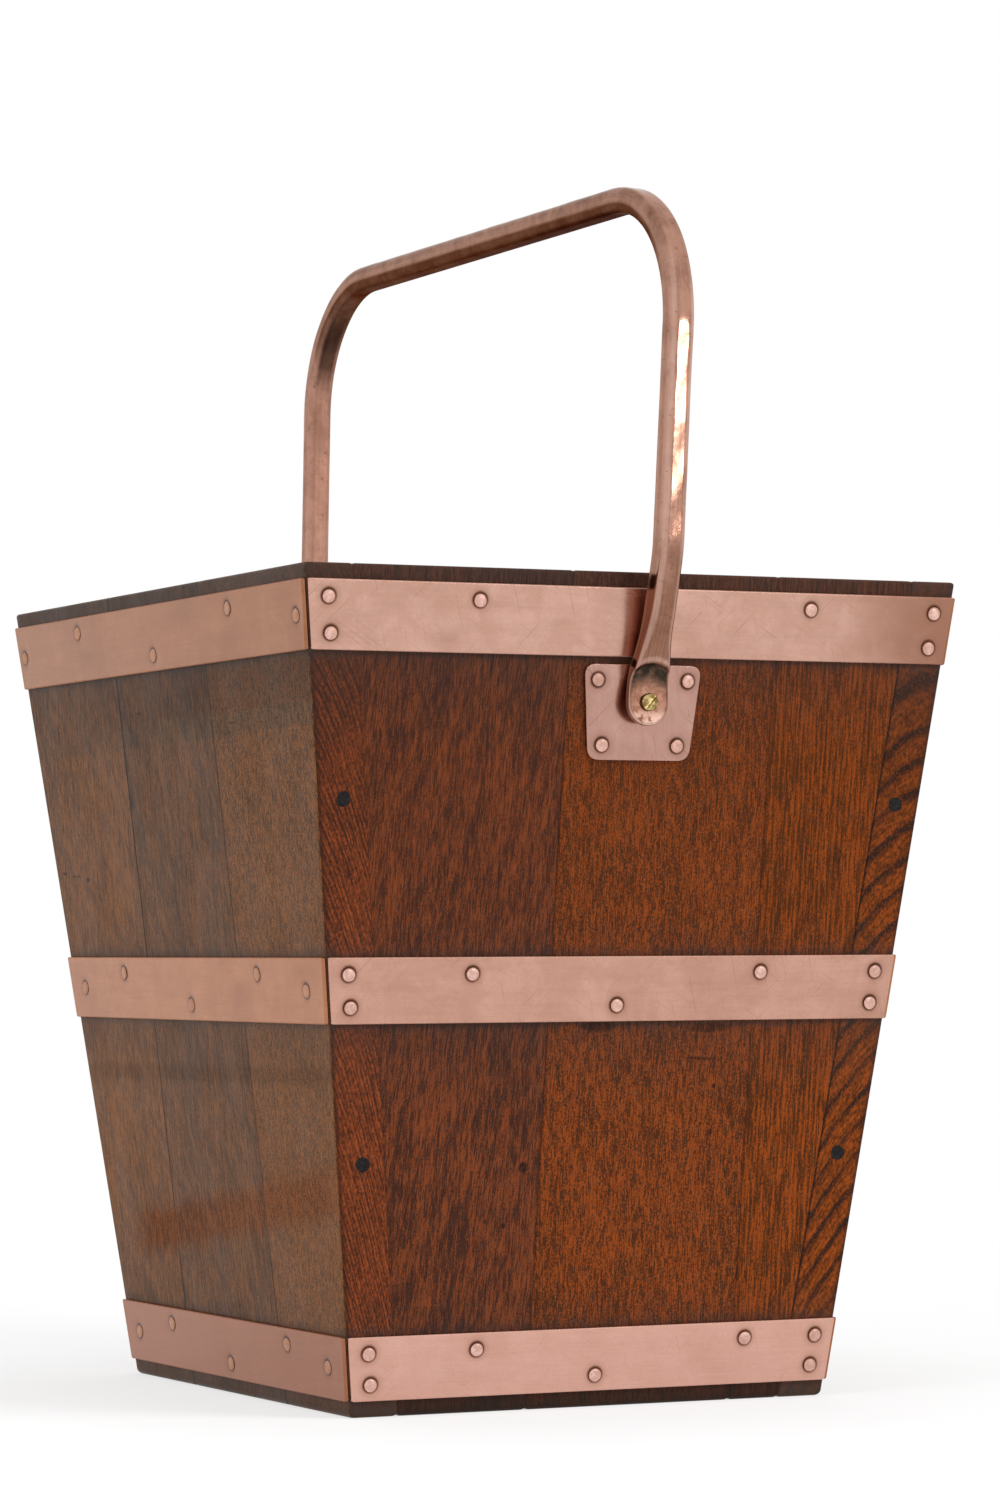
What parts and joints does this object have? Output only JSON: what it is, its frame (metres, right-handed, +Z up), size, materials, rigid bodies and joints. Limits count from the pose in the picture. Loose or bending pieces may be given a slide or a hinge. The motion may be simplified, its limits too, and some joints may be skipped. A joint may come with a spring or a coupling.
{
  "type": "coal bucket",
  "caption": "Tapered square coal bucket of upright oak boards bound with copper strips, open at the top, with a swinging copper bow handle on pivot plates.",
  "frame": {"origin": "middle of the foot of the bucket, on the floor", "axes": "+Z up; -Y is the front wall, which carries the near pivot plate; +X is to the right seen from the front; the handle turns about an axis along Y"},
  "size_m": [0.3396, 0.4302, 0.5728],
  "materials": {
    "oak_front": "dark stained and varnished oak, satin",
    "oak_side": "dark stained and varnished oak, satin",
    "oak_base": "dark oak, matt and sooty",
    "peg_wood": "nearly black end grain",
    "band_copper": "satin brushed copper",
    "handle_copper": "polished copper, browned in the hollows",
    "screw_brass": "worn brass",
    "nail_iron": "dull black iron"
  },
  "bodies": {
    "bucket": {"front_board_left": "oak_front", "front_board_middle": "oak_front", "front_board_right": "oak_front", "back_board_left": "oak_front", "back_board_middle": "oak_front", "back_board_right": "oak_front", "left_board_front": "oak_side", "left_board_middle": "oak_side", "left_board_back": "oak_side", "right_board_front": "oak_side", "right_board_middle": "oak_side", "right_board_back": "oak_side", "base_board_left": "oak_base", "base_board_right": "oak_base", "base_nail_front_a": "nail_iron", "base_nail_front_b": "nail_iron", "base_nail_back_a": "nail_iron", "base_nail_back_b": "nail_iron", "base_nail_left_a": "nail_iron", "base_nail_left_b": "nail_iron", "base_nail_right_a": "nail_iron", "base_nail_right_b": "nail_iron", "peg_front_left_upper": "peg_wood", "peg_front_left_lower": "peg_wood", "peg_front_right_upper": "peg_wood", "peg_front_right_lower": "peg_wood", "peg_back_left_upper": "peg_wood", "peg_back_left_lower": "peg_wood", "peg_back_right_upper": "peg_wood", "peg_back_right_lower": "peg_wood", "band_upper_front": "band_copper", "band_middle_front": "band_copper", "band_lower_front": "band_copper", "band_upper_back": "band_copper", "band_middle_back": "band_copper", "band_lower_back": "band_copper", "band_upper_left": "band_copper", "band_middle_left": "band_copper", "band_lower_left": "band_copper", "band_upper_right": "band_copper", "band_middle_right": "band_copper", "band_lower_right": "band_copper", "pivot_plate_front": "band_copper", "plate_nail_front_upper_left": "band_copper", "plate_nail_front_upper_right": "band_copper", "plate_nail_front_lower_left": "band_copper", "plate_nail_front_lower_right": "band_copper", "pivot_washer_front": "screw_brass", "pivot_screw_front": "screw_brass", "pivot_plate_back": "band_copper", "plate_nail_back_upper_left": "band_copper", "plate_nail_back_upper_right": "band_copper", "plate_nail_back_lower_left": "band_copper", "plate_nail_back_lower_right": "band_copper", "pivot_washer_back": "screw_brass", "pivot_screw_back": "screw_brass"},
    "handle": {"handle": "handle_copper"}
  },
  "joints": [
    {"name": "handle_swing", "type": "hinge", "parent": "bucket", "child": "handle", "pos_m": [0.0037, 0, 0.3276], "axis": [0, 1, 0], "range_deg": [-141, 140]}
  ]
}
